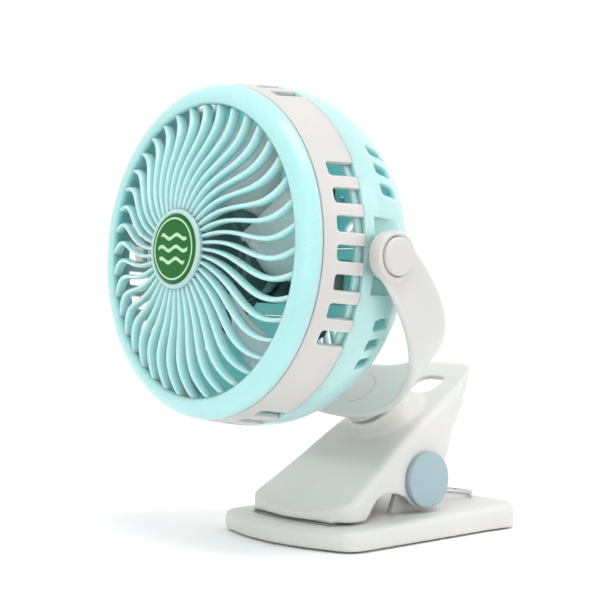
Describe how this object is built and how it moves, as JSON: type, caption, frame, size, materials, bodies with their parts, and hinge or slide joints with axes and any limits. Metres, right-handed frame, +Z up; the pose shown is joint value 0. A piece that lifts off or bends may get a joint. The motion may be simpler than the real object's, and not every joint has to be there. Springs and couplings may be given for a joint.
{
  "type": "clip fan",
  "caption": "Rechargeable clip fan: round tilting head with a curved-rib grille, in a swivelling U-shaped yoke on a sprung clamp that also stands as a foot.",
  "frame": {"origin": "middle of the underside of the rubber sole, on the surface that the fan stands on", "axes": "+Z up, the fan blows towards -Y, +X to the right seen from the front"},
  "size_m": [0.1538, 0.167, 0.1809],
  "materials": {
    "mint": "moulded, satin gloss",
    "white": "moulded, satin gloss",
    "grey_white": "moulded, satin",
    "pale_blue": "moulded, satin",
    "rubber": "soft rubber",
    "steel": "plated wire and screws",
    "badge_green": "printed disc",
    "dark": "moulded",
    "motor_can": "drawn steel can",
    "blade_mint": "moulded",
    "cell_wrap": "shrink wrap",
    "board_green": "solder mask",
    "lens": "clear lens"
  },
  "bodies": {
    "base": {"lower_jaw": "grey_white", "base_sole": "rubber", "lower_grip_pad": "rubber", "hinge_pin": "steel", "torsion_spring": "steel"},
    "clip": {"upper_jaw": "grey_white", "upper_grip_pad": "rubber", "hinge_cap_right": "pale_blue", "hinge_cap_left": "pale_blue", "swivel_bolt": "steel", "swivel_nut": "steel"},
    "arm": {"yoke": "grey_white", "tilt_cap_right": "grey_white", "tilt_cap_left": "grey_white", "swivel_washer": "rubber", "swivel_cap": "grey_white"},
    "head": {"front_grille": "mint", "badge": "badge_green", "body_band": "white", "rear_cover": "mint", "motor_mount": "dark", "motor": "motor_can", "battery": "cell_wrap", "contact_right": "steel", "contact_left": "steel", "battery_door": "mint", "battery_door_screw": "steel", "circuit_board": "board_green", "charge_port": "steel", "indicator_lamp": "lens", "tilt_washer_right": "rubber", "tilt_washer_left": "rubber", "tilt_screw_right": "steel", "tilt_screw_left": "steel", "mount_screw_1": "steel", "mount_screw_2": "steel", "mount_screw_3": "steel", "mount_screw_4": "steel"},
    "impeller": {"rotor": "blade_mint", "motor_shaft": "steel"},
    "button": {"speed_button": "white"}
  },
  "joints": [
    {"name": "clip_open", "type": "hinge", "parent": "base", "child": "clip", "pos_m": [0, 0.012, 0.0235], "axis": [-1, 0, 0], "range_deg": [0, 35], "stiffness_Nm_per_rad": 0.8, "springref_deg": -22.92, "deforming": ["torsion_spring"]},
    {"name": "yoke_swivel", "type": "hinge", "parent": "clip", "child": "arm", "pos_m": [0, -0.05704, 0.11404], "axis": [0, -0.7071, 0.7071], "continuous": true},
    {"name": "head_tilt", "type": "hinge", "parent": "arm", "child": "head", "pos_m": [0, -0.05704, 0.11404], "axis": [1, 0, 0], "continuous": true},
    {"name": "rotor_spin", "type": "hinge", "parent": "head", "child": "impeller", "pos_m": [0, -0.05704, 0.11404], "axis": [0, -0.9992, 0.0401], "continuous": true},
    {"name": "button_press", "type": "slide", "parent": "head", "child": "button", "axis": [0, -0.9992, 0.0401], "range_m": [0, 0.0012], "stiffness_N_per_m": 400, "springref_m": -0.0005}
  ]
}
